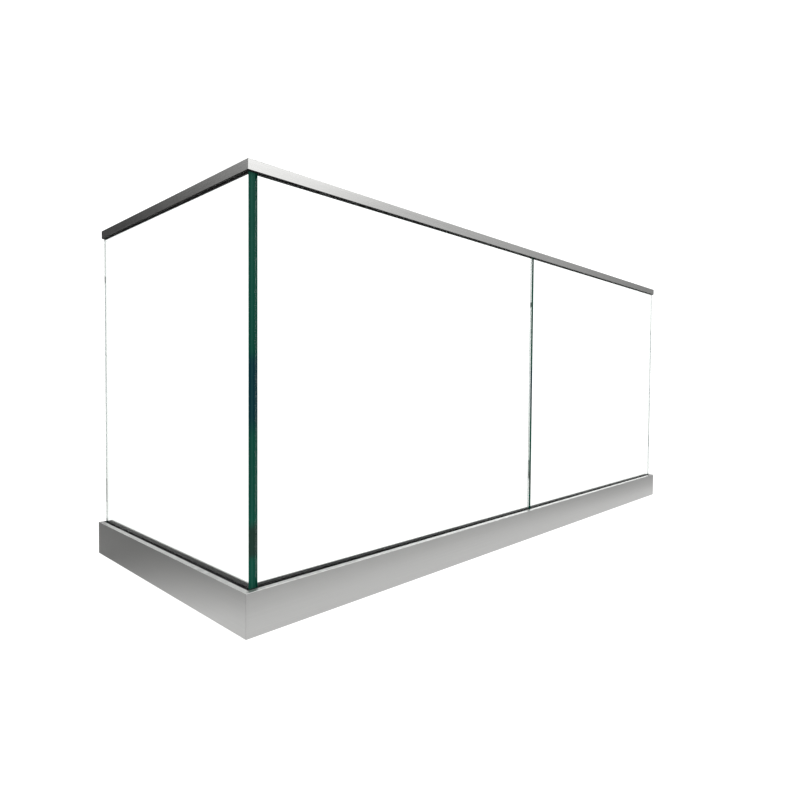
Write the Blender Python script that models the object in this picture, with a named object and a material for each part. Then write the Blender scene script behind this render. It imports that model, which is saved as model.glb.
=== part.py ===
"""Corner of a frameless glass balustrade: mitred base shoes, clamped laminated panes and a slim cap rail.

Each of the two runs has its own empty at the outer corner on the floor. In a run's frame s goes along the
run from the corner, u goes inwards from the shoe's outer face, and z goes up. The front run lies along +X,
the side run along +Y, and the scene's origin is the middle of the footprint.
"""

from math import cos, pi, radians, sin, sqrt, tan

import bmesh
import bpy
from mathutils import Matrix, Vector

MM = 0.001
GAP = 0.3 * MM  # between faces that touch on the real object

# Driving sizes of the whole corner
FRONT_LENGTH = 2500 * MM
SIDE_LENGTH = 940 * MM
TOTAL_HEIGHT = 1100 * MM

# Laminated glass
PLY = 8 * MM
INTERLAYER = 1.52 * MM
FRONT_PANES = 2
CORNER_JOINT = 5 * MM  # open joint from the side pane's face to the first front pane's edge
PANE_JOINT = 10 * MM  # open joint between two front panes
GLASS_END_INSET = 13 * MM  # from the end of a run to its last glass edge

# Base shoe, an aluminium extrusion
SHOE_HEIGHT = 107 * MM
SHOE_LIP = 15 * MM  # thickness of the outer wall at the mouth
INNER_LIP = 5 * MM  # of the inner wall, which steps back so that the tapers go in from above
SHOE_LIP_DEPTH = 15 * MM
SHOE_WALL = 9 * MM  # wall thickness of the pocket below the lip
SHOE_FLOOR = 15 * MM
SHOE_EDGE_RADIUS = 1 * MM
POCKET_RADIUS = 2 * MM

# Strips that close the shoe's mouth on both sides of the glass
GASKET_WIDTH = 5 * MM  # of the outer strip; the inner one fills what the inner wall leaves
GASKET_HEIGHT = 13 * MM
GASKET_PROUD = 0.6 * MM
BARB_HEIGHT = 3 * MM
BARB_DEPTH = 2.5 * MM
BARB_DROP = 8 * MM  # from the shoe's top to the middle of the barb

# Saddle, the plastic bridge that carries the glass over the anchors
SADDLE_DECK = 4 * MM
SADDLE_SIDE_CLEARANCE = 0.8 * MM  # from an anchor's flange to the bridge's legs
SADDLE_HEADROOM = 3.4 * MM  # from an anchor's head to the bridge's deck
SADDLE_INSET = 20 * MM  # from a pane's edge to its saddle's end

# Taper clamps between the glass and the shoe's inner wall
CLAMPS_PER_FRONT_PANE = 3
CLAMPS_PER_SIDE_PANE = 2
CLAMP_LENGTH = 120 * MM
CLAMP_HEADROOM = 1 * MM
TAPER_THIN = 3 * MM
TAPER_THICK = 6 * MM
TOOL_NOTCH = 10 * MM  # width of the notches that the driving tool hooks into
TOOL_NOTCH_DEPTH = 8 * MM

# Screw anchors in the floor of the shoe, with one-piece flanged heads
ANCHOR_EDGE = 75 * MM  # from the outermost glass edges to the nearest anchor
ANCHOR_SPACE = 5 * MM  # least space from an anchor's flange to the splice plate
ANCHOR_RADIUS = 5 * MM
ANCHOR_HOLE_CLEARANCE = 1 * MM
ANCHOR_FLANGE_RADIUS = 10 * MM
ANCHOR_FLANGE = 2 * MM
ANCHOR_HEAD_FLATS = 15 * MM
ANCHOR_HEAD_HEIGHT = 6 * MM
ANCHOR_TIP = 0.5 * MM  # the modelled shank stops this far above the floor line

# Angle plate that joins the two shoes in the corner
SPLICE_LEG = 75 * MM  # from the outer corner to the end of a leg
SPLICE_WIDTH = 20 * MM
SPLICE_THICKNESS = 4 * MM
SPLICE_SCREW_INSET = 10 * MM  # from the end of a leg to the screw's axis

# Shoe end plates, screwed to both walls at half height
END_PLATE = 3 * MM

# Countersunk screws with hexagonal sockets
SCREW_CLEARANCE = 0.3 * MM
SCREW_SUNK = 0.2 * MM
SCREW_RIM = 0.3 * MM
SPLICE_SCREW = {"shank": 3 * MM, "head": 5.5 * MM, "length": 13 * MM, "flats": 4 * MM, "socket": 2 * MM}
END_SCREW = {"shank": 2 * MM, "head": 3.8 * MM, "length": 15 * MM, "flats": 2.5 * MM, "socket": 1.4 * MM}

# Cap rail, a folded stainless channel on a rubber profile
CAP_HEIGHT = 25.5 * MM
CAP_WALL = 1.5 * MM
CAP_OVERHANG = 5 * MM  # from the glass face to the rail's outer face
CAP_EDGE_RADIUS = 1.2 * MM
CAP_END_INSET = 5 * MM  # from the end of a run to the end of its rail
CAP_END_PLATE = 1.5 * MM
CAP_LUG_LENGTH = 14 * MM
CAP_LIP_DROP = 2.5 * MM  # how far the rubber reaches below the rail
CAP_LIP = 1 * MM  # thickness of the rubber at the rail's edge
CAP_WEB = 3 * MM  # rubber over the glass's upper edge
CAP_RIB_HEIGHT = 4.5 * MM
CAP_RIB_WIDTH = 4 * MM
CAP_KEY_LEG = 70 * MM

ARC_STEPS = 5
ROUND_STEPS = 24

# What follows from the sizes above
GLASS = 2 * PLY + INTERLAYER
GLASS_OUTER = SHOE_LIP + GASKET_WIDTH
GLASS_INNER = GLASS_OUTER + GLASS
SHOE_WIDTH = 2 * GLASS_OUTER + GLASS
LIP_UNDERSIDE = SHOE_HEIGHT - SHOE_LIP_DEPTH
POCKET_TOP = LIP_UNDERSIDE - (SHOE_LIP - SHOE_WALL)
CLAMP_TOP = POCKET_TOP - CLAMP_HEADROOM
FLOOR_LEVEL = SHOE_FLOOR + GAP
BARB_LEVEL = SHOE_HEIGHT - BARB_DROP
GASKET_BOTTOM = SHOE_HEIGHT + GASKET_PROUD - GASKET_HEIGHT
ANCHOR_TOP = FLOOR_LEVEL + ANCHOR_FLANGE + ANCHOR_HEAD_HEIGHT
DECK_UNDERSIDE = ANCHOR_TOP + SADDLE_HEADROOM
GLASS_SEAT = DECK_UNDERSIDE + SADDLE_DECK + GAP
CAP_OUTER = GLASS_OUTER - CAP_OVERHANG
CAP_UNDERSIDE = TOTAL_HEIGHT - CAP_HEIGHT
CAP_CEILING = TOTAL_HEIGHT - CAP_WALL
RIB_TOP = CAP_CEILING - GAP
WEB_TOP = RIB_TOP - CAP_RIB_HEIGHT
WEB_UNDERSIDE = WEB_TOP - CAP_WEB
GLASS_TOP = WEB_UNDERSIDE - GAP
KEY_NEAR = CAP_OUTER + CAP_WALL + GAP + CAP_RIB_WIDTH + GAP
KEY_FAR = SHOE_WIDTH - KEY_NEAR
MITRE_SETBACK = GAP / sqrt(2)


class Run:
    """One straight leg of the corner, with the empty that places it."""

    def __init__(self, name, length, turn, hand, panes, clamps_per_pane):
        self.name = name
        self.length = length
        self.hand = hand  # +1 where inwards is the empty's +Y, -1 where it is its -Y
        self.panes = panes  # (start, end) of each pane along s
        self.clamps = []
        past_splice = SPLICE_LEG + ANCHOR_SPACE + ANCHOR_FLANGE_RADIUS
        self.anchors = [max(panes[0][0] + ANCHOR_EDGE, past_splice)]
        for start, end in panes:
            bay = (end - start) / clamps_per_pane
            self.clamps += [start + bay * (number + 0.5) for number in range(clamps_per_pane)]
            self.anchors += [start + bay * number for number in range(1, clamps_per_pane)]
            if end != panes[-1][1]:
                self.anchors.append(end + PANE_JOINT / 2)
        self.anchors.append(panes[-1][1] - ANCHOR_EDGE)
        self.empty = bpy.data.objects.new(name + "_run", None)
        self.empty.location = (-FRONT_LENGTH / 2, -SIDE_LENGTH / 2, 0)
        self.empty.rotation_euler = (0, 0, turn)
        bpy.context.scene.collection.objects.link(self.empty)

    def at(self, s, u, z):
        """A point of this run in its empty's own frame."""
        return Vector((s, self.hand * u, z))


def clear_scene():
    for obj in list(bpy.data.objects):
        bpy.data.objects.remove(obj)


def finish(name, colour, roughness, metallic=0.0, alpha=1.0):
    material = bpy.data.materials.new(name)
    material.use_nodes = True
    shader = material.node_tree.nodes["Principled BSDF"]
    shader.inputs["Base Color"].default_value = (*colour, 1)
    shader.inputs["Roughness"].default_value = roughness
    shader.inputs["Metallic"].default_value = metallic
    shader.inputs["Alpha"].default_value = alpha
    material.diffuse_color = (*colour, alpha)
    return material


def mesh_of(name, bm, material=None):
    """The finished mesh of a closed bmesh."""
    bmesh.ops.recalc_face_normals(bm, faces=bm.faces)
    mesh = bpy.data.meshes.new(name)
    bm.to_mesh(mesh)
    bm.free()
    mesh.shade_smooth()
    mesh.set_sharp_from_angle(angle=radians(30))
    if material:
        mesh.materials.append(material)
    return mesh


def place(name, mesh, run, matrix=None):
    """A named object that hangs from its run's empty."""
    obj = bpy.data.objects.new(name, mesh)
    bpy.context.scene.collection.objects.link(obj)
    obj.parent = run.empty
    if matrix:
        obj.matrix_local = matrix
    return obj


def add_boolean(obj, helper, operation="DIFFERENCE"):
    """Cuts or joins one object with a helper that isn't a piece of its own."""
    helper.hide_render = True
    helper.display_type = "WIRE"
    boolean = obj.modifiers.new(helper.name, "BOOLEAN")
    boolean.operation = operation
    boolean.solver = "EXACT"
    boolean.object = helper


def rounded(corners):
    """An outline from (u, z, radius) corners, with an arc at each corner that has a radius."""
    outline = []
    for index, (u, z, radius) in enumerate(corners):
        here = Vector((u, z))
        if not radius:
            outline.append(here)
            continue
        before = (Vector(corners[index - 1][:2]) - here).normalized()
        after = (Vector(corners[(index + 1) % len(corners)][:2]) - here).normalized()
        half = before.angle(after) / 2
        centre = here + (before + after).normalized() * (radius / sin(half))
        first = here + before * (radius / tan(half)) - centre
        sweep = first.angle_signed(here + after * (radius / tan(half)) - centre)
        for step in range(ARC_STEPS + 1):
            turn = -sweep * step / ARC_STEPS
            spoke = (first.x * cos(turn) - first.y * sin(turn), first.x * sin(turn) + first.y * cos(turn))
            outline.append(centre + Vector(spoke))
    return outline


def other_side(points):
    """The same (u, z, ...) points mirrored about the middle of the glass, in reverse order."""
    return [(SHOE_WIDTH - point[0], *point[1:]) for point in reversed(points)]


def rectangle(u, z, radius=0):
    return [(u[0], z[0], radius), (u[1], z[0], radius), (u[1], z[1], radius), (u[0], z[1], radius)]


def extruded(points, vector):
    """(bmesh, near vertices, far vertices) of a flat outline swept along a vector."""
    bm = bmesh.new()
    near = [bm.verts.new(point) for point in points]
    face = bm.faces.new(near)
    swept = bmesh.ops.extrude_face_region(bm, geom=[face])
    far = [item for item in swept["geom"] if isinstance(item, bmesh.types.BMVert)]
    bmesh.ops.translate(bm, vec=vector, verts=far)
    return bm, near, far


def bar(run, corners, start, end, mitred=False):
    """A bmesh bar with this (u, z, radius) section, from start to end or from the corner's mitre to end."""
    section = [run.at(start, u, z) for u, z in rounded(corners)]
    bm, near, _ = extruded(section, (end - start, 0, 0))
    if mitred:
        for vert in near:
            vert.co.x = abs(vert.co.y) + MITRE_SETBACK
    return bm


def angle_plate(near, far, leg, low, thickness):
    """A flat L on the front run's frame, with equal legs along both runs."""
    outline = [(near, near), (leg, near), (leg, far), (far, far), (far, leg), (near, leg)]
    return extruded([(x, y, low) for x, y in outline], (0, 0, thickness))[0]


def turned(rings):
    """A solid about Z from (radius, height) rings. A third value makes a ring a hexagon of that inradius."""
    bm = bmesh.new()
    loops = []
    for radius, height, *hexagonal in rings:
        loop = []
        for step in range(ROUND_STEPS):
            angle = 2 * pi * step / ROUND_STEPS
            reach = radius / cos((angle + pi / 6) % (pi / 3) - pi / 6) if hexagonal else radius
            loop.append(bm.verts.new((reach * cos(angle), reach * sin(angle), height)))
        loops.append(loop)
    for lower, upper in zip(loops, loops[1:]):
        for step in range(ROUND_STEPS):
            bm.faces.new((lower[step - 1], lower[step], upper[step], upper[step - 1]))
    bm.faces.new(loops[0])
    bm.faces.new(loops[-1])
    return bm


def several(mesh, matrices):
    """One mesh that holds a copy of another at each matrix, for a helper that cuts many holes."""
    bm = bmesh.new()
    for matrix in matrices:
        known = len(bm.verts)
        bm.from_mesh(mesh)
        bm.verts.ensure_lookup_table()
        bmesh.ops.transform(bm, matrix=matrix, verts=bm.verts[known:])
    return mesh_of(mesh.name, bm)


def add_anchors(run, material):
    """The run's floor anchors, and the helper that drills the shoe for them."""
    middle = run.at(0, SHOE_WIDTH / 2, 0)
    spots = [Matrix.Translation(middle + run.at(s, 0, 0)) for s in run.anchors]
    bevel = ANCHOR_RADIUS / 8
    flange_top = FLOOR_LEVEL + ANCHOR_FLANGE
    anchor = turned([
        (ANCHOR_RADIUS - bevel, ANCHOR_TIP),
        (ANCHOR_RADIUS, ANCHOR_TIP + bevel),
        (ANCHOR_RADIUS, FLOOR_LEVEL),
        (ANCHOR_FLANGE_RADIUS, FLOOR_LEVEL),
        (ANCHOR_FLANGE_RADIUS, flange_top),
        (ANCHOR_HEAD_FLATS / 2, flange_top, "hexagon"),
        (ANCHOR_HEAD_FLATS / 2, ANCHOR_TOP - bevel, "hexagon"),
        (ANCHOR_HEAD_FLATS / 2 - bevel, ANCHOR_TOP),
    ])
    mesh = mesh_of("anchor", anchor, material)
    for number, spot in enumerate(spots, 1):
        place(f"anchor_{run.name}_{number}", mesh, run, spot)
    radius = ANCHOR_RADIUS + ANCHOR_HOLE_CLEARANCE
    drill = mesh_of("anchor_hole", turned([(radius, -SHOE_FLOOR), (radius, 2 * SHOE_FLOOR)]))
    half_facet = Matrix.Rotation(pi / ROUND_STEPS, 4, "Z")
    return place(f"anchor_holes_{run.name}", several(drill, [spot @ half_facet for spot in spots]), run)


def screw_rings(screw, grow=0.0):
    """The rings of a countersunk screw up to its face at 0, or those of the hole that takes it."""
    shank, head = screw["shank"] + grow, screw["head"] + grow
    rim = -SCREW_RIM - grow
    return [(shank, -screw["length"] - grow), (shank, rim - (head - shank)), (head, rim)]


def add_screws(name, run, screw, spots, material):
    """Countersunk screws with their faces at these matrices, and the helper that cuts their holes."""
    socket = screw["flats"] / 2
    head = screw["head"]
    body = screw_rings(screw) + [(head, 0), (socket, 0, "hexagon"), (socket, -screw["socket"], "hexagon")]
    mesh = mesh_of(name, turned(body), material)
    sunk = [spot @ Matrix.Translation((0, 0, -SCREW_SUNK)) for spot in spots]
    for number, spot in enumerate(sunk, 1):
        place(f"{name}_{number}", mesh, run, spot)
    hole = screw_rings(screw, SCREW_CLEARANCE) + [(head + SCREW_CLEARANCE, screw["length"])]
    return place(name + "_holes", several(mesh_of("hole", turned(hole)), sunk), run)


def shoe_mouth(lip):
    """One wall from its barb groove up over its lip and down its outside, for a lip this thick."""
    low, high = BARB_LEVEL - BARB_HEIGHT / 2 - GAP, BARB_LEVEL + BARB_HEIGHT / 2 + GAP
    groove = lip - BARB_DEPTH
    return [
        (lip, low, 0),
        (groove, low, 0),
        (groove, high, 0),
        (lip, high, 0),
        (lip, SHOE_HEIGHT, SHOE_EDGE_RADIUS / 2),
        (0, SHOE_HEIGHT, SHOE_EDGE_RADIUS),
        (0, 0, SHOE_EDGE_RADIUS),
    ]


def shoe_section():
    """A channel whose outer wall leans over its pocket and whose inner wall has a ledge for its strip."""
    floor_end = (SHOE_WALL, SHOE_FLOOR, POCKET_RADIUS)
    ledge = GASKET_BOTTOM - GAP
    outer = [floor_end, (SHOE_WALL, POCKET_TOP, 0), (SHOE_LIP, LIP_UNDERSIDE, 0)]
    inner = [floor_end, (SHOE_WALL, ledge, 0), (INNER_LIP, ledge, 0)]
    return outer + shoe_mouth(SHOE_LIP) + other_side(inner + shoe_mouth(INNER_LIP))


def add_shoe(run, aluminium, steel, splice_holes):
    """The run's shoe with its end plate, anchors and screws."""
    plate_back = run.length - END_PLATE
    section = bar(run, shoe_section(), 0, plate_back - GAP, mitred=True)
    shoe = place(f"base_shoe_{run.name}", mesh_of("shoe", section, aluminium), run)
    cover = rectangle((0, SHOE_WIDTH), (0, SHOE_HEIGHT), SHOE_EDGE_RADIUS)
    plate_mesh = mesh_of("shoe_end_plate", bar(run, cover, plate_back, run.length), aluminium)
    plate = place(f"shoe_end_plate_{run.name}", plate_mesh, run)
    along_run = Matrix.Rotation(radians(90), 4, "Y")
    walls = (SHOE_WALL / 2, SHOE_WIDTH - SHOE_WALL / 2)
    spots = [Matrix.Translation(run.at(run.length, u, SHOE_HEIGHT / 2)) @ along_run for u in walls]
    screw_holes = add_screws(f"end_plate_screw_{run.name}", run, END_SCREW, spots, steel)
    add_boolean(plate, screw_holes)
    for helper in (screw_holes, add_anchors(run, steel), splice_holes):
        add_boolean(shoe, helper)


def add_splice(run, steel):
    """The angle plate on the shoes' floors, with a screw into each shoe."""
    middle = SHOE_WIDTH / 2
    near, far = middle - SPLICE_WIDTH / 2, middle + SPLICE_WIDTH / 2
    angle = angle_plate(near, far, SPLICE_LEG, FLOOR_LEVEL, SPLICE_THICKNESS)
    plate = place("corner_splice_plate", mesh_of("splice", angle, steel), run)
    screw_at = SPLICE_LEG - SPLICE_SCREW_INSET
    top = FLOOR_LEVEL + SPLICE_THICKNESS
    spots = [Matrix.Translation((*spot, top)) for spot in ((screw_at, middle), (middle, screw_at))]
    holes = add_screws("corner_splice_screw", run, SPLICE_SCREW, spots, steel)
    add_boolean(plate, holes)
    return holes


def gasket_section(lip):
    """A strip from a lip this thick to the glass, with a barb in the lip's groove."""
    back, face = lip + GAP, GLASS_OUTER - GAP
    top = SHOE_HEIGHT + GASKET_PROUD
    crown = GASKET_WIDTH / 3
    tip = lip - BARB_DEPTH + GAP
    low, high = BARB_LEVEL - BARB_HEIGHT / 2, BARB_LEVEL + BARB_HEIGHT / 2
    return [
        (back, GASKET_BOTTOM, 0),
        (face, GASKET_BOTTOM, crown),
        (face, top, crown),
        (back, top, 0),
        (back, high, 0),
        (tip, high, 0),
        (tip, low, 0),
        (back, low, 0),
    ]


def add_gaskets(run, rubber):
    """The strips between the lips and the glass."""
    end = run.length - END_PLATE - GAP
    inner_strip = other_side(gasket_section(INNER_LIP))
    for side, corners in (("outer", gasket_section(SHOE_LIP)), ("inner", inner_strip)):
        strip = bar(run, corners, 0, end, mitred=True)
        place(f"shoe_gasket_{side}_{run.name}", mesh_of("gasket", strip, rubber), run)


def add_pane(name, run, start, end, glass, film):
    """Two plies of glass and the interlayer between them."""
    height = (GLASS_SEAT, GLASS_TOP)
    outer_ply = (GLASS_OUTER, GLASS_OUTER + PLY)
    inner_ply = (GLASS_INNER - PLY, GLASS_INNER)
    between = (outer_ply[1] + GAP, inner_ply[0] - GAP)
    layers = [("outer_ply", outer_ply, glass), ("interlayer", between, film)]
    layers.append(("inner_ply", inner_ply, glass))
    for layer, depth, material in layers:
        sheet = bar(run, rectangle(depth, height), start, end)
        place(f"{name}_{layer}", mesh_of(layer, sheet, material), run)


def saddle_section():
    """A bridge over the anchors, whose outer leg goes on up to back the glass."""
    wall = SHOE_WALL + GAP
    tunnel = SHOE_WIDTH / 2 - ANCHOR_FLANGE_RADIUS - SADDLE_SIDE_CLEARANCE
    deck = DECK_UNDERSIDE + SADDLE_DECK
    return [
        (wall, FLOOR_LEVEL, POCKET_RADIUS),
        (tunnel, FLOOR_LEVEL, 0),
        (tunnel, DECK_UNDERSIDE, 0),
        (SHOE_WIDTH - tunnel, DECK_UNDERSIDE, 0),
        (SHOE_WIDTH - tunnel, FLOOR_LEVEL, 0),
        (SHOE_WIDTH - wall, FLOOR_LEVEL, POCKET_RADIUS),
        (SHOE_WIDTH - wall, deck, 0),
        (GLASS_OUTER - GAP, deck, 0),
        (GLASS_OUTER - GAP, CLAMP_TOP, 0),
        (wall, CLAMP_TOP, 0),
    ]


def add_saddle(name, run, start, end, plastic):
    """The pane's saddle, which starts clear of the splice plate in the corner."""
    first = max(start, SPLICE_LEG) + SADDLE_INSET
    saddle = bar(run, saddle_section(), first, end - SADDLE_INSET)
    place(f"{name}_saddle", mesh_of("saddle", saddle, plastic), run)


def wedge(run, outline, flat, slanted):
    """A bmesh with this (s, z) outline, from u at flat to u at slanted(s)."""
    bm, _, far = extruded([run.at(s, flat, z) for s, z in outline], (0, 0, 0))
    for vert in far:
        vert.co.y = run.hand * slanted(vert.co.x)
    return bm


def add_clamps(run, plastic, grip):
    """Pairs of tapers. The sliding one is driven towards -s to grip the glass and towards +s to free it."""
    wall = SHOE_WIDTH - SHOE_WALL - GAP
    half = CLAMP_LENGTH / 2
    low = GLASS_SEAT
    notch_floor = CLAMP_TOP - TOOL_NOTCH_DEPTH

    def slope(s):
        """u of the fixed taper's slanted face."""
        share = (half - s) / CLAMP_LENGTH
        return wall - TAPER_THIN - (TAPER_THICK - TAPER_THIN) * share

    def sliding_slope(s):
        return slope(s) - GAP

    right = [
        (half, low),
        (half, CLAMP_TOP),
        (half - TOOL_NOTCH, CLAMP_TOP),
        (half - TOOL_NOTCH, notch_floor),
        (half - 2 * TOOL_NOTCH, notch_floor),
        (half - 2 * TOOL_NOTCH, CLAMP_TOP),
    ]
    block = [(-half, low), (half, low), (half, CLAMP_TOP), (-half, CLAMP_TOP)]
    notched = right + [(-s, z) for s, z in reversed(right)]
    fixed = mesh_of("fixed_taper", wedge(run, block, wall, slope), plastic)
    sliding = wedge(run, notched, GLASS_INNER + GAP, sliding_slope)
    middle = run.at(0, GLASS_INNER + GAP, (low + CLAMP_TOP) / 2)
    bmesh.ops.translate(sliding, vec=-middle, verts=sliding.verts)
    sliding = mesh_of("sliding_taper", sliding, grip)
    for number, centre in enumerate(run.clamps, 1):
        along = Matrix.Translation(run.at(centre, 0, 0))
        place(f"fixed_taper_{run.name}_{number}", fixed, run, along)
        place(f"sliding_taper_{run.name}_{number}", sliding, run, along @ Matrix.Translation(middle))


def cap_section():
    half = [
        (CAP_OUTER + CAP_WALL, CAP_CEILING, 0),
        (CAP_OUTER + CAP_WALL, CAP_UNDERSIDE, 0),
        (CAP_OUTER, CAP_UNDERSIDE, 0),
        (CAP_OUTER, TOTAL_HEIGHT, CAP_EDGE_RADIUS),
    ]
    return half + other_side(half)


def cap_gasket_section():
    """An inverted U on the glass, with ribs up to the rail's ceiling and a lip under the rail's edge."""
    glass_side = GLASS_OUTER - GAP
    rail_side = CAP_OUTER + CAP_WALL + GAP
    under = CAP_UNDERSIDE - GAP
    half = [
        (rail_side + CAP_RIB_WIDTH, WEB_TOP, 0),
        (rail_side + CAP_RIB_WIDTH, RIB_TOP, 0),
        (rail_side, RIB_TOP, 0),
        (rail_side, under, 0),
        (CAP_OUTER, under, 0),
        (CAP_OUTER, under - CAP_LIP, 0),
        (glass_side, CAP_UNDERSIDE - CAP_LIP_DROP, 0),
        (glass_side, WEB_UNDERSIDE, 0),
    ]
    return half + other_side(half)


def add_cap(run, steel, rubber):
    """The run's cap rail on its rubber profile, closed by a plate with a lug inside the rail."""
    rail_end = run.length - CAP_END_INSET
    plate_back = rail_end - CAP_END_PLATE
    rail = bar(run, cap_section(), 0, plate_back - GAP, mitred=True)
    place(f"cap_rail_{run.name}", mesh_of("cap_rail", rail, steel), run)
    profile = bar(run, cap_gasket_section(), 0, plate_back - GAP, mitred=True)
    place(f"cap_gasket_{run.name}", mesh_of("cap_gasket", profile, rubber), run)
    low_corners = rectangle((CAP_OUTER, SHOE_WIDTH - CAP_OUTER), (CAP_UNDERSIDE, TOTAL_HEIGHT))[:2]
    cover = low_corners + [
        (SHOE_WIDTH - CAP_OUTER, TOTAL_HEIGHT, CAP_EDGE_RADIUS),
        (CAP_OUTER, TOTAL_HEIGHT, CAP_EDGE_RADIUS),
    ]
    plate_mesh = mesh_of("cap_end_plate", bar(run, cover, plate_back, rail_end), steel)
    plate = place(f"cap_end_plate_{run.name}", plate_mesh, run)
    lug_section = rectangle((KEY_NEAR, KEY_FAR), (WEB_TOP + GAP, RIB_TOP))
    lug = bar(run, lug_section, plate_back - CAP_LUG_LENGTH, rail_end - CAP_END_PLATE / 2)
    add_boolean(plate, place(f"cap_end_lug_{run.name}", mesh_of("lug", lug), run), "UNION")


def add_cap_key(run, steel):
    """The flat angle between the rubber's ribs that lines up the rails at their mitre."""
    key = angle_plate(KEY_NEAR, KEY_FAR, CAP_KEY_LEG, WEB_TOP + GAP, RIB_TOP - WEB_TOP - GAP)
    place("cap_corner_key", mesh_of("cap_corner_key", key, steel), run)


def front_panes():
    """(start, end) of the front run's panes, which share what the corner and the joints leave."""
    first = GLASS_INNER + CORNER_JOINT
    joints = (FRONT_PANES - 1) * PANE_JOINT
    width = (FRONT_LENGTH - GLASS_END_INSET - first - joints) / FRONT_PANES
    starts = [first + number * (width + PANE_JOINT) for number in range(FRONT_PANES)]
    return [(start, start + width) for start in starts]


clear_scene()
anodised = finish("anodised_aluminium", (0.62, 0.62, 0.61), 0.38, metallic=1.0)
brushed = finish("brushed_stainless", (0.60, 0.60, 0.59), 0.30, metallic=1.0)
zinc = finish("zinc_plated_steel", (0.50, 0.51, 0.52), 0.35, metallic=1.0)
rubber = finish("black_rubber", (0.02, 0.02, 0.022), 0.65)
glass = finish("clear_glass", (0.72, 0.86, 0.80), 0.03, alpha=0.25)
film = finish("clear_interlayer", (0.86, 0.92, 0.88), 0.10, alpha=0.35)
grey_nylon = finish("grey_nylon", (0.20, 0.20, 0.21), 0.55)
green_nylon = finish("green_nylon", (0.05, 0.30, 0.14), 0.50)

side_panes = [(GLASS_OUTER, SIDE_LENGTH - GLASS_END_INSET)]
front = Run("front", FRONT_LENGTH, 0, 1, front_panes(), CLAMPS_PER_FRONT_PANE)
side = Run("side", SIDE_LENGTH, radians(90), -1, side_panes, CLAMPS_PER_SIDE_PANE)

splice_holes = add_splice(front, zinc)
add_cap_key(front, zinc)
for run in (front, side):
    add_shoe(run, anodised, zinc, splice_holes)
    add_gaskets(run, rubber)
    add_clamps(run, grey_nylon, green_nylon)
    add_cap(run, brushed, rubber)
    for number, (start, end) in enumerate(run.panes, 1):
        pane = f"pane_{run.name}_{number}"
        add_pane(pane, run, start, end, glass, film)
        add_saddle(pane, run, start, end, grey_nylon)
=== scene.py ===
from math import pi

import bmesh
import bpy
from mathutils import Matrix, Vector


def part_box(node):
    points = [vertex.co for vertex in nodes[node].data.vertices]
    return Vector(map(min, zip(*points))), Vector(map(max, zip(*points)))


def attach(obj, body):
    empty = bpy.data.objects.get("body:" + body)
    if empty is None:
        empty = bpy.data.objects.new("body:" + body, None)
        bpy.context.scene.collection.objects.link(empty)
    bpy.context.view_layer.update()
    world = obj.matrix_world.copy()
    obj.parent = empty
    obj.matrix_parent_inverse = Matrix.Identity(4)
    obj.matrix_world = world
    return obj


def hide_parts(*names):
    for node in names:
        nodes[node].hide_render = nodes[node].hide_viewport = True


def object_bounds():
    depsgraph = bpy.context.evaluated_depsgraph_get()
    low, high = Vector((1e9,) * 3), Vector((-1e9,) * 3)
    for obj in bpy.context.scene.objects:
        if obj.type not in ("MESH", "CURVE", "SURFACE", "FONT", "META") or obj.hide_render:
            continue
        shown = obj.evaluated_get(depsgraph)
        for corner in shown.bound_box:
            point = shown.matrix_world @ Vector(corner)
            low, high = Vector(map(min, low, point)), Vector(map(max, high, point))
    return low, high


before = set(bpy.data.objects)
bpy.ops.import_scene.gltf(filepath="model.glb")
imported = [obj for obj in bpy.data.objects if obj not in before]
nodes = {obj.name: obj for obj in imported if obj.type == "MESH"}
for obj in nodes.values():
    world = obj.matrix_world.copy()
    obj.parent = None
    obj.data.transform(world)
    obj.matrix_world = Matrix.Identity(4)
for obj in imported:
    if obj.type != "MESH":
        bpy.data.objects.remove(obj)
cad_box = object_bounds()
scene = bpy.context.scene
scene.view_settings.view_transform = "Standard"

# Camera: it stands a little over a metre from the outer corner, at just over half the height of the
# glass and level but for a slight nod, so that both runs fall away to the sides.
lens = bpy.data.cameras.new("camera")
lens.sensor_width = 36
lens.lens = 25.73
lens.shift_x = 0.01528
camera = bpy.data.objects.new("camera", lens)
swing = Matrix.Rotation(0.77841 - pi / 2, 4, "Z")
nod = Matrix.Rotation(pi / 2 - 0.02939, 4, "X")
tilt = Matrix.Rotation(0.00678, 4, "Z")
camera.matrix_world = Matrix.Translation((-1.94394, -1.60497, 0.59015)) @ swing @ nod @ tilt
scene.collection.objects.link(camera)
scene.camera = camera


# Studio: even white where it shows past the object. What the metal mirrors is a dark band along the
# horizon, an overhead glow and one broad soft light with a bright middle, low in front. The white that
# the shoe's lips mirror through the panes is weaker towards the far end of the side run.
class Term:
    """A shader socket that takes part in sums and products."""

    def __init__(self, shading, socket):
        self.shading = shading
        self.socket = socket

    def joined(self, operation, *terms):
        return self.shading.add("ShaderNodeMath", {"operation": operation}, dict(enumerate(terms)))

    def __add__(self, other):
        return self.joined("ADD", self, other)

    __radd__ = __add__

    def __sub__(self, other):
        return self.joined("SUBTRACT", self, other)

    def __rsub__(self, other):
        return self.joined("SUBTRACT", other, self)

    def __mul__(self, other):
        return self.joined("MULTIPLY", self, other)

    __rmul__ = __mul__

    def __or__(self, other):
        return self.joined("MAXIMUM", self, other)


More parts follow.
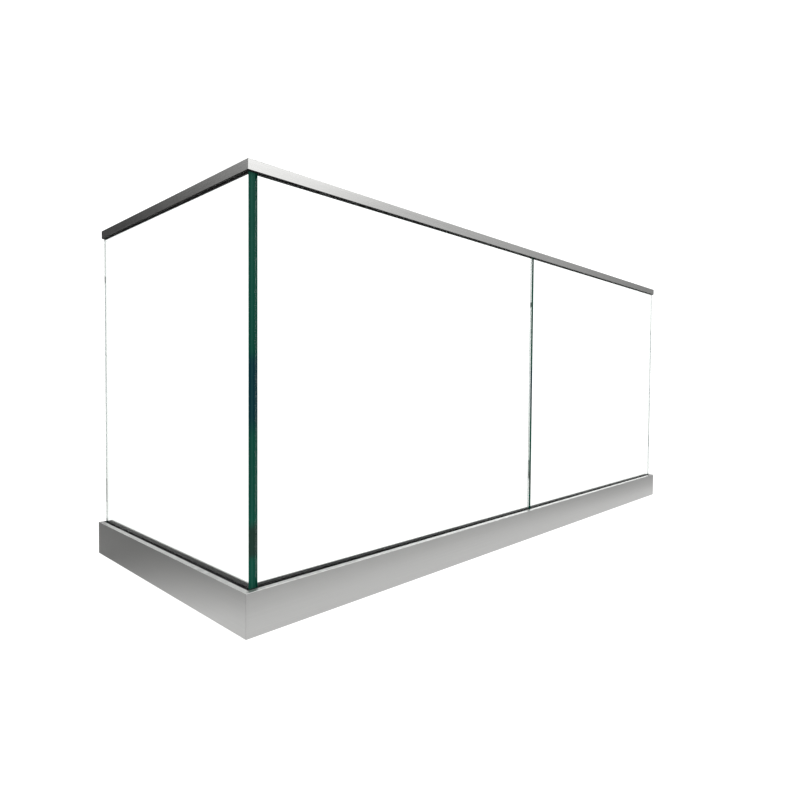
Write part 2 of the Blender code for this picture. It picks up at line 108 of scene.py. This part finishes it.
class Shading:
    """A node tree, filled one node at a time."""

    def __init__(self, tree):
        self.tree = tree
        tree.nodes.clear()

    def add(self, kind, settings=None, inputs=None, output=0):
        node = self.tree.nodes.new(kind)
        for name, value in (settings or {}).items():
            setattr(node, name, value)
        for name, value in (inputs or {}).items():
            self.feed(node.inputs[name], value)
        return Term(self, node.outputs[output]) if node.outputs else node

    def feed(self, socket, value):
        if isinstance(value, Term):
            self.tree.links.new(value.socket, socket)
        else:
            socket.default_value = value

    def ramp(self, value, low, high, bottom=0.0, top=1.0):
        """A smooth step from bottom to top while value goes from low to high."""
        ends = {"Value": value, 1: low, 2: high, 3: bottom, 4: top}
        return self.add("ShaderNodeMapRange", {"interpolation_type": "SMOOTHSTEP"}, ends)

    def blend(self, share, first, second):
        """A colour between two colours."""
        return self.add("ShaderNodeMix", {"data_type": "RGBA"}, {0: share, 6: first, 7: second}, 2)

    def axis(self, vector, letter):
        return self.add("ShaderNodeSeparateXYZ", None, {0: vector}, "XYZ".index(letter))

    def object_place(self):
        return self.add("ShaderNodeTexCoord", output="Object")

    def seen_straight(self):
        """One for what is seen directly or through glass, nought for what is mirrored or lights something."""
        direct = self.add("ShaderNodeLightPath", output="Is Camera Ray")
        return direct | self.add("ShaderNodeLightPath", output="Is Transmission Ray")


world = bpy.data.worlds.new("studio")
world.use_nodes = True
scene.world = world
sky = Shading(world.node_tree)
way = sky.add("ShaderNodeTexCoord", output="Generated")
key_way = Vector((0.484, -0.803, 0.347)).normalized()
to_key = sky.add("ShaderNodeVectorMath", {"operation": "DOT_PRODUCT"}, {0: way, 1: key_way}, "Value")
dim_way = Vector((0.309, 0.951, 0.35)).normalized()
to_dim = sky.add("ShaderNodeVectorMath", {"operation": "DOT_PRODUCT"}, {0: way, 1: dim_way}, "Value")
overhead = sky.ramp(sky.axis(way, "Z"), 0.24, 0.62, 0.06, 1.6)
studio = overhead + sky.ramp(to_key, 0.58, 0.975, 0, 0.52) + sky.ramp(to_key, 0.973, 0.993, 0, 0.53)
straight = sky.seen_straight()
mirrored_once = sky.ramp(sky.add("ShaderNodeLightPath", output="Glossy Depth"), 0, 1)
white = 1.35 * (1 - 0.55 * mirrored_once * sky.ramp(to_dim, 0.8, 0.97))
glow = straight * white + (1 - straight) * studio
background = sky.add("ShaderNodeBackground", None, {"Color": (1, 1, 1, 1), "Strength": glow})
sky.add("ShaderNodeOutputWorld", None, {"Surface": background})


# Floor: a large pale sheet, even white where it is seen. What the metal mirrors of it is brightest close
# to the shoes, and duller away from them and towards the far end of either run.
class Finish(Shading):
    """A material around one Principled shader. Numbers that hold all over go straight on its sockets."""

    def __init__(self, name, **plain):
        self.material = bpy.data.materials.new(name)
        self.material.use_nodes = True
        super().__init__(self.material.node_tree)
        self.main = self.tree.nodes.new("ShaderNodeBsdfPrincipled")
        self.shader = Term(self, self.main.outputs[0])
        for socket, value in plain.items():
            self.main.inputs[socket.replace("_", " ")].default_value = value

    def set(self, socket, value):
        self.feed(self.main.inputs[socket], value)

    def done(self, shader=None):
        self.add("ShaderNodeOutputMaterial", None, {"Surface": shader or self.shader})
        return self.material

    def noise(self, vector, scale, detail=2.0, roughness=0.5):
        """A cloudy pattern from 0 to 1 with its middle at a half."""
        inputs = {"Vector": vector, "Scale": scale, "Detail": detail, "Roughness": roughness}
        return self.add("ShaderNodeTexNoise", None, inputs)

    def stretched(self, scale):
        """The piece's own coordinates, scaled differently along each axis."""
        return self.add("ShaderNodeMapping", None, {"Vector": self.object_place(), "Scale": scale})

    def bump(self, height, strength, distance):
        inputs = {"Strength": strength, "Distance": distance, "Height": height}
        self.set("Normal", self.add("ShaderNodeBump", None, inputs))


paper = Finish("pale_floor", Roughness=0.9, Emission_Strength=1.0)
spot = paper.object_place()
CORNER_X, CORNER_Y = cad_box[0][0], cad_box[0][1]
far_along = paper.ramp(paper.axis(spot, "Y"), -0.9, 0.5)
beyond_side = 1 - paper.ramp(paper.axis(spot, "X"), -1.3, -0.9)
away = (CORNER_X - paper.axis(spot, "X")) | (CORNER_Y - paper.axis(spot, "Y"))
near_shoe = 1.55 - 1.17 * paper.ramp(away, 0.0, 0.3)
far_front = paper.ramp(paper.axis(spot, "X"), -0.1, 1.4)
mirrored = near_shoe * (1 - 0.9 * far_along * beyond_side) * (1 - 0.32 * far_front)
shown = paper.seen_straight()
level = shown * 1.12 + (1 - shown) * mirrored
paper.set("Emission Color", paper.blend(level, (0, 0, 0, 1), (1, 1, 1, 1)))
paper.set("Base Color", paper.blend(paper.noise(spot, 3), (0.14, 0.14, 0.137, 1), (0.17, 0.17, 0.167, 1)))
floor_mesh = bpy.data.meshes.new("floor")
grid = bmesh.new()
bmesh.ops.create_grid(grid, x_segments=8, y_segments=8, size=30)
grid.to_mesh(floor_mesh)
grid.free()
floor_mesh.materials.append(paper.done())
floor = bpy.data.objects.new("floor", floor_mesh)
scene.collection.objects.link(floor)


# Base shoes: two lengths of one aluminium extrusion, cut to 45 degrees at the corner and satin anodised
# to a soft silver. Die lines run lengthwise, and a band along the sharp upper edges is painted lighter:
# partly rubbed wear, partly a painted highlight.
SHOE_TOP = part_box("base_shoe_front")[1].z
HIGHLIGHT_AND_WEAR_BAND = 0.0015


def anodised(name, stretch):
    metal = Finish(name, Metallic=1.0)
    lines = metal.noise(metal.stretched(stretch), 1.0, 3.0, 0.6)
    place = metal.object_place()
    clouds = metal.noise(place, 9.0, 4.0, 0.55)
    speckle = metal.noise(place, 1400.0, 1.0)
    # Painted highlight mixed with rubbed wear: the base colour turns lighter in a thin band under the top
    # edge, broken up by noise.
    near_top = metal.ramp(metal.axis(place, "Z"), SHOE_TOP - HIGHLIGHT_AND_WEAR_BAND, SHOE_TOP - 0.0002)
    wear_and_highlight = near_top * metal.noise(place, 60.0, 3.0)
    tone = 0.5 * lines + 0.3 * clouds + 0.2 * speckle
    silver = metal.blend(tone, (0.35, 0.35, 0.345, 1), (0.49, 0.49, 0.485, 1))
    metal.set("Base Color", metal.blend(0.8 * wear_and_highlight, silver, (0.84, 0.84, 0.83, 1)))
    metal.set("Roughness", 0.26 + 0.1 * lines + 0.12 * clouds - 0.06 * wear_and_highlight)
    metal.bump(lines + 0.3 * speckle, 0.25, 0.00015)
    return metal.done()


def finish_nodes(material, *starts):
    """Puts a material on every CAD node whose name starts so."""
    for name, node in nodes.items():
        if name.startswith(starts):
            for slot in node.material_slots:
                slot.material = material


along_x = (1.2, 700, 700)
along_y = (700, 1.2, 700)
finish_nodes(anodised("anodised_front", along_x), "base_shoe_front")
finish_nodes(anodised("anodised_side", along_y), "base_shoe_side")


# Shoe end plates: flat pieces cut from wide bar of the same alloy and anodised with the shoes, each held
# by two countersunk screws. Their grain runs upright, so they look a shade darker.
finish_nodes(anodised("anodised_plate", (500, 500, 4)), "shoe_end_plate")


# Screws of the end plates and of the splice, the splice plate and the anchors: plain steel parts with
# bright zinc plate, which is patchy and faintly blue and yellow.
zinc = Finish("zinc_plate", Metallic=1.0)
patches = zinc.noise(zinc.object_place(), 120.0, 4.0, 0.6)
cells = zinc.add("ShaderNodeTexVoronoi", None, {"Vector": zinc.object_place(), "Scale": 900.0})
fine = zinc.noise(zinc.object_place(), 2500.0, 2.0)
plated = zinc.blend(patches, (0.50, 0.53, 0.57, 1), (0.66, 0.65, 0.60, 1))
zinc.set("Base Color", zinc.blend(0.25 * cells, plated, (0.42, 0.44, 0.47, 1)))
zinc.set("Roughness", 0.26 + 0.2 * patches + 0.1 * fine)
zinc.bump(fine + 0.5 * cells, 0.2, 0.0001)
finish_nodes(zinc.done(), "anchor_", "corner_splice", "end_plate_screw")


# Saddles and fixed tapers: moulded grey nylon. The saddles stand in the shoe over the anchors, carry the
# glass and back its outer face; the fixed tapers lie against the inner wall.
def moulded(name, dark, light):
    nylon = Finish(name)
    place = nylon.object_place()
    flow = nylon.noise(place, 25.0, 3.0)
    eroded = nylon.noise(place, 1800.0, 2.0)
    scuffs = nylon.noise(nylon.stretched((90, 90, 700)), 1.0, 3.0, 0.7)
    nylon.set("Base Color", nylon.blend(0.7 * flow + 0.3 * scuffs, dark, light))
    nylon.set("Roughness", 0.42 + 0.15 * eroded + 0.1 * scuffs)
    nylon.bump(eroded, 0.3, 0.0001)
    return nylon.done()


grey_nylon = moulded("grey_nylon", (0.15, 0.15, 0.155, 1), (0.27, 0.27, 0.275, 1))
finish_nodes(grey_nylon, "fixed_taper", "pane_front_1_saddle", "pane_front_2_saddle", "pane_side_1_saddle")


# Sliding tapers: moulded green nylon wedges with two notches each, which a hooked tool drives along the
# fixed ones to lock or free the glass.
finish_nodes(moulded("green_nylon", (0.035, 0.22, 0.10, 1), (0.07, 0.36, 0.17, 1)), "sliding_taper")


# Glass: three panes of two toughened plies bonded by a clear interlayer. The edges are ground, arrissed
# and polished, and look deep green because light reaches them through a long way of glass. Across their
# height they carry a painted reflection: a blue band and a dark band.
ARRIS = 0.0011
SEAM_ARRIS = 0.0004
BOND = 0.00005


def clear(name):
    face = Finish(name, Transmission_Weight=1.0, IOR=1.52, Specular_Tint=(0.35, 0.37, 0.36, 1))
    wiped = face.noise(face.stretched((3, 3, 8)), 1.0, 4.0, 0.6)
    face.set("Base Color", face.blend(wiped, (0.972, 0.99, 0.98, 1), (0.98, 0.995, 0.988, 1)))
    face.set("Roughness", face.ramp(wiped, 0.5, 0.8, 0.0, 0.012))
    return face


open_face = clear("glass_face").done()

bonded = Finish("glass_bonded", Alpha=0.0, Roughness=0.0)
bond_clouds = bonded.noise(bonded.object_place(), 5.0)
bonded.set("Base Color", bonded.blend(bond_clouds, (0.97, 0.99, 0.98, 1), (1, 1, 1, 1)))
bonded_face = bonded.done()


CLEAR_WITHIN = 0.58


def edge_finish(name, dark, green, blue, roughness):
    """Deep colour from outside, with a painted reflection in bands across the height.
    What is seen from within the pane is partly plain glass.
    """
    edge = Finish(name, IOR=1.52, Specular_IOR_Level=0.08)
    place = edge.object_place()
    upright = edge.stretched((30, 30, 5))
    bands = edge.noise(upright, 1.0, 2.0)
    hairs = edge.noise(edge.stretched((900, 900, 6)), 1.0, 3.0)
    height = edge.axis(place, "Z")
    # Painted reflection: a blue band at mid height and a near-black band low down stand in for things around
    # the glass that are mirrored inside its edge.
    blue_reflection_band = edge.ramp(height, 0.45, 0.52) * (1 - edge.ramp(height, 0.63, 0.67))
    low = edge.ramp(height, 0.17, 0.19) * (1 - edge.ramp(height, 0.24, 0.27))
    tone = edge.blend(0.55 * bands + 0.35 * hairs, dark, green)
    tone = edge.blend(0.85 * blue_reflection_band, tone, blue)
    edge.set("Base Color", edge.blend(0.8 * low, tone, (0.016, 0.032, 0.024, 1)))
    edge.set("Roughness", roughness + 0.12 * hairs)
    edge.bump(hairs, 0.1, 0.0001)
    inner = edge.tree.nodes.new("ShaderNodeBsdfPrincipled")
    inner.inputs["Transmission Weight"].default_value = 1.0
    inner.inputs["IOR"].default_value = 1.52
    inner.inputs["Roughness"].default_value = 0.02
    edge.feed(inner.inputs["Base Color"], edge.blend(hairs, (0.80, 0.92, 0.87, 1), (0.90, 0.97, 0.94, 1)))
    from_within = CLEAR_WITHIN * edge.add("ShaderNodeNewGeometry", output="Backfacing")
    sides = {0: from_within, 1: edge.shader, 2: Term(edge, inner.outputs[0])}
    return edge.done(edge.add("ShaderNodeMixShader", None, sides))


glass_tones = (0.001, 0.036, 0.024, 1), (0.003, 0.10, 0.062, 1), (0.001, 0.026, 0.04, 1)
glass_edge = edge_finish("glass_edge", *glass_tones, 0.08)

film = Finish("interlayer_face", Transmission_Weight=1.0, IOR=1.0, Roughness=0.0)
film_clouds = film.noise(film.object_place(), 4.0)
film.set("Base Color", film.blend(film_clouds, (0.985, 0.995, 0.99, 1), (0.99, 1, 0.995, 1)))
film_face = film.done()
film_tones = (0.015, 0.10, 0.07, 1), (0.04, 0.16, 0.12, 1), (0.02, 0.08, 0.085, 1)
film_edge = edge_finish("interlayer_edge", *film_tones, 0.3)


def piece(name, bm, *materials):
    """A finished mesh on the fixed body."""
    bmesh.ops.recalc_face_normals(bm, faces=bm.faces)
    mesh = bpy.data.meshes.new(name)
    bm.to_mesh(mesh)
    bm.free()
    for material in materials:
        mesh.materials.append(material)
    made = bpy.data.objects.new(name, mesh)
    scene.collection.objects.link(made)
    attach(made, "balustrade")
    return made


def plate(low, high):
    """A bmesh box between two corners."""
    bm = bmesh.new()
    bmesh.ops.create_cube(bm, size=1)
    bmesh.ops.scale(bm, vec=high - low, verts=bm.verts)
    bmesh.ops.translate(bm, vec=(low + high) / 2, verts=bm.verts)
    return bm


def round_off(bm, edges, offset, segments):
    """Rounds edges. Only the rounding itself is smooth, so that the flats beside it stay flat."""
    sizes = {"offset": offset, "segments": segments, "profile": 0.5}
    for face in bmesh.ops.bevel(bm, geom=edges, affect="EDGES", material=-1, **sizes)["faces"]:
        face.smooth = segments > 2


def ply(pane, layer, across, outwards):
    """One ply, arrissed wide on its open face and fine on its bonded face."""
    low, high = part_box(f"{pane}_{layer}")
    bm = plate(low, high)
    open_at = high[across] if outwards > 0 else low[across]
    for arris, is_open in ((ARRIS, True), (SEAM_ARRIS, False)):
        rim = [
            edge
            for edge in bm.edges
            if all((abs(vert.co[across] - open_at) < 1e-5) == is_open for vert in edge.verts)
        ]
        round_off(bm, rim, arris, 2)
    bm.normal_update()
    for face in bm.faces:
        facing = face.normal[across] * outwards
        face.material_index = 0 if facing > 0.999 else 1 if facing < -0.999 else 2
    made = piece(f"{pane}_{layer}_glass", bm, open_face, bonded_face, glass_edge)
    made.visible_shadow = False
    made.visible_diffuse = False
    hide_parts(f"{pane}_{layer}")


def interlayer(pane, across):
    """The film, which fills the space between the plies and is trimmed just inside their edges."""
    low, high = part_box(f"{pane}_interlayer")
    low, high = low + Vector((0.0002, 0.0002, 0.0002)), high - Vector((0.0002, 0.0002, 0.0002))
    low[across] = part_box(f"{pane}_outer_ply")[1][across] + BOND
    high[across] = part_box(f"{pane}_inner_ply")[0][across] - BOND
    bm = plate(low, high)
    bm.normal_update()
    for face in bm.faces:
        face.material_index = 0 if abs(face.normal[across]) > 0.999 else 1
    made = piece(f"{pane}_interlayer_film", bm, film_face, film_edge)
    made.visible_shadow = False
    made.visible_diffuse = False
    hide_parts(f"{pane}_interlayer")


for pane, across in (("pane_front_1", 1), ("pane_front_2", 1), ("pane_side_1", 0)):
    ply(pane, "outer_ply", across, -1)
    ply(pane, "inner_ply", across, 1)
    interlayer(pane, across)


# Shoe gaskets: black EPDM strips pushed in between each lip and the glass, with a barb that snaps into
# the lip's groove and a rounded bead against the glass. They are mitred in the corner.
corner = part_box("base_shoe_front")[0]
SHOE_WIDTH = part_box("base_shoe_front")[1].y - corner.y
seal = Finish("black_rubber", Specular_IOR_Level=0.15)
drawn = seal.noise(seal.object_place(), 260.0, 3.0, 0.6)
dust = seal.ramp(seal.noise(seal.object_place(), 1500.0, 2.0), 0.62, 0.75)
greyed = 0.5 * drawn + 0.3 * dust
seal.set("Base Color", seal.blend(greyed, (0.004, 0.004, 0.0045, 1), (0.021, 0.020, 0.021, 1)))
seal.set("Roughness", 0.5 + 0.2 * drawn + 0.15 * dust)
seal.bump(drawn + 0.4 * dust, 0.35, 0.0002)
rubber = seal.done()


MITRE_GAP = 0.0002


def extrusion(section, run, end):
    """A bar whose (inwards, up) section starts on the corner's mitre and ends square at end."""
    bm = bmesh.new()
    profile = bm.faces.new([bm.verts.new((0, inwards, up)) for inwards, up in section])
    drawn_out = bmesh.ops.extrude_face_region(bm, geom=[profile])["geom"]
    far = [part for part in drawn_out if isinstance(part, bmesh.types.BMVert)]
    bmesh.ops.translate(bm, vec=(end, 0, 0), verts=far)
    for vert in set(bm.verts) - set(far):
        vert.co.x = vert.co.y + MITRE_GAP
    if run == "side":
        bmesh.ops.transform(bm, matrix=Matrix(((0, 1, 0), (1, 0, 0), (0, 0, 1))).to_4x4(), verts=bm.verts)
    bmesh.ops.translate(bm, vec=corner, verts=bm.verts)
    return bm


def lengthwise(bm, run, inwards, up, reach=0.0004):
    """The edges that run along a bar at this point of its section."""
    side = 0 if run == "side" else 1
    return [
        edge
        for edge in bm.edges
        if all(
            abs(vert.co[side] - corner[side] - inwards) < reach and abs(vert.co.z - up) < reach
            for vert in edge.verts
        )
    ]


def run_end(node, run):
    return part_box(node)[1][1 if run == "side" else 0] - corner[1 if run == "side" else 0]


def exact(measure):
    """A measure read from the frame, without its single precision noise."""
    return round(measure, 6)


OUTER_LIP = 0.015
INNER_LIP = 0.005
SEAT = 0.0003
GLASS_FACE = exact(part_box("pane_front_1_outer_ply")[0].y - corner.y) - SEAT


def bead(lip, foot, top):
    """A strip behind a lip of this width: round by the glass, dished on top, barbed at the back."""
    back = lip + SEAT
    barb = lip - 0.0022
    by_glass = [
        (back, foot),
        (GLASS_FACE - 0.0007, foot),
        (GLASS_FACE, foot + 0.0016),
        (GLASS_FACE, top - 0.0014),
        (GLASS_FACE - 0.0005, top - 0.0003),
        (GLASS_FACE - 0.0013, top),
        (GLASS_FACE - 0.0019, top - 0.0004),
    ]
    dish = [(back + 0.0020, top - 0.0008), (back + 0.0014, top - 0.0004), (back + 0.0005, top - 0.0003)]
    behind = [
        (back, top - 0.0006),
        (back, top - 0.0071),
        (barb, top - 0.0074),
        (barb + 0.0004, foot + 0.0030),
        (back, foot + 0.0028),
    ]
    return by_glass + dish + behind


for run in ("front", "side"):
    for place, lip in (("outer", OUTER_LIP), ("inner", INNER_LIP)):
        node = f"shoe_gasket_{place}_{run}"
        low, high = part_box(node)
        section = bead(lip, exact(low.z), exact(high.z))
        if place == "inner":
            section = [(SHOE_WIDTH - inwards, up) for inwards, up in section]
        strip = extrusion(section, run, run_end(node, run))
        made = piece(f"{node}_strip", strip, rubber)
        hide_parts(node)


# Cap key: a flat steel angle between the rubber's ribs that lines the two rails up at their mitre.
finish_nodes(zinc.material, "cap_corner_key")


# Cap gaskets: black EPDM in an inverted U that grips the upper edge of the glass. Its ribs fill the rail
# and its lips show as a thin black line below the rail on both sides.
CAP_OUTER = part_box("cap_rail_front")[0].y - corner.y
CAP_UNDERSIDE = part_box("cap_rail_front")[0].z
rib = [(0.0208, 0.0195), (0.0208, 0.0239), (0.0204, 0.0239), (0.0171, 0.0239), (0.0168, 0.0236)]
rib += [(0.0168, -0.0003)]
skirt = [(0.0153, -0.0003), (0.0150, -0.0006), (0.0150, -0.0012), (0.0154, -0.0013), (0.0190, -0.0022)]
by_glass = [(0.0195, -0.0024), (0.0197, -0.0020), (0.0197, 0.0162)]
half = [(inwards, exact(CAP_UNDERSIDE + up)) for inwards, up in rib + skirt + by_glass]
lips = half + [(SHOE_WIDTH - inwards, up) for inwards, up in reversed(half)]
for run in ("front", "side"):
    node = f"cap_gasket_{run}"
    made = piece(f"{node}_profile", extrusion(lips, run, run_end(node, run)), rubber)
    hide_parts(node)


# Cap rails: stainless sheet folded to a channel with small outer radii, brushed lengthwise and mitred in
# the corner. They are pressed down over the rubber.
WALL = 0.0015
FOLD = 0.0012


def brushed(name, stretch, broad):
    steel = Finish(name, Metallic=1.0)
    hairs = steel.noise(steel.stretched(stretch), 1.0, 4.0, 0.7)
    strokes = steel.noise(steel.stretched(broad), 1.0, 2.0, 0.6)
    clouds = steel.noise(steel.object_place(), 14.0, 3.0)
    tone = 0.55 * hairs + 0.3 * strokes + 0.15 * clouds
    steel.set("Base Color", steel.blend(tone, (0.50, 0.50, 0.49, 1), (0.76, 0.76, 0.75, 1)))
    steel.set("Roughness", 0.14 + 0.14 * hairs + 0.05 * clouds)
    steel.bump(hairs + 0.4 * strokes, 0.3, 0.0001)
    return steel.done()


rail_steel = {
    "front": brushed("brushed_front", (9, 1500, 1500), (2.5, 260, 260)),
    "side": brushed("brushed_side", (1500, 9, 1500), (260, 2.5, 260)),
}
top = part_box("cap_rail_front")[1].z
channel = [
    (CAP_OUTER + WALL, top - WALL),
    (CAP_OUTER + WALL, CAP_UNDERSIDE),
    (CAP_OUTER, CAP_UNDERSIDE),
    (CAP_OUTER, top),
]
channel += [(SHOE_WIDTH - inwards, up) for inwards, up in reversed(channel)]
for run in ("front", "side"):
    node = f"cap_rail_{run}"
    rail = extrusion(channel, run, run_end(node, run))
    for inwards in (CAP_OUTER, SHOE_WIDTH - CAP_OUTER):
        round_off(rail, lengthwise(rail, run, inwards, top), FOLD, 4)
        round_off(rail, lengthwise(rail, run, inwards, CAP_UNDERSIDE), 0.0002, 1)
    made = piece(f"{node}_channel", rail, rail_steel[run])
    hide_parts(node)


# Cap end plates: small stainless plates with a lug that is held between the rubber's ribs, brushed the
# same way as the rails.
finish_nodes(brushed("brushed_plate", (1500, 1500, 12), (260, 260, 4)), "cap_end_plate")
